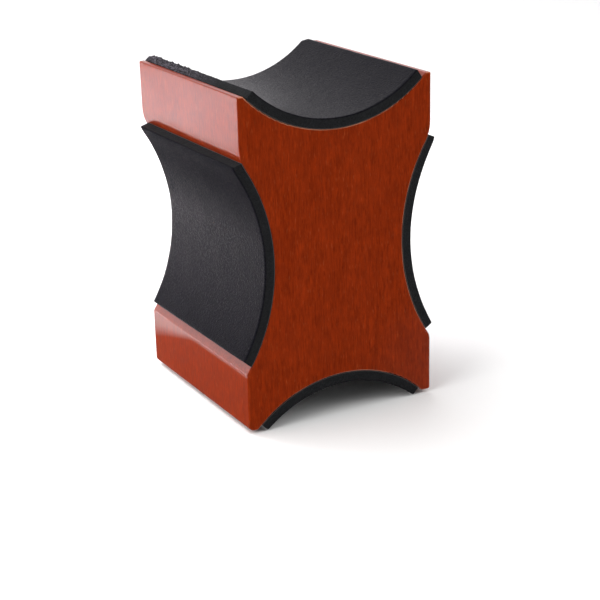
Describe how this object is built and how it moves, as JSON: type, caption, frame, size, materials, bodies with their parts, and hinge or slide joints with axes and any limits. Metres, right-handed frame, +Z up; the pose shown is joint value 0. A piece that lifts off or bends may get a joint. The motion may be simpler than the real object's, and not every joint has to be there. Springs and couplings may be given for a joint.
{
  "type": "instrument neck rest",
  "caption": "Waisted hardwood block with a foam-padded saddle across each long side; holds up a guitar or violin neck on a bench during setup work.",
  "frame": {"origin": "middle of the footprint, at the level of the bottom pad's edges, on which the block stands", "axes": "+Z up the block, along its longest extent; the saddles run along Y, and the front face looks along -Y; X runs from the left saddle to the right one"},
  "size_m": [0.0706, 0.071, 0.1064],
  "materials": {
    "stained_wood": "red-brown stain under satin lacquer, fine straight grain running up the block",
    "black_foam": "matt closed-cell foam with a finely speckled skin",
    "adhesive": "dark double-sided film"
  },
  "bodies": {
    "root": {"saddle_block": "stained_wood", "top_foam_pad": "black_foam", "bottom_foam_pad": "black_foam", "left_foam_pad": "black_foam", "right_foam_pad": "black_foam", "top_adhesive_film": "adhesive", "bottom_adhesive_film": "adhesive", "left_adhesive_film": "adhesive", "right_adhesive_film": "adhesive"}
  },
  "joints": []
}
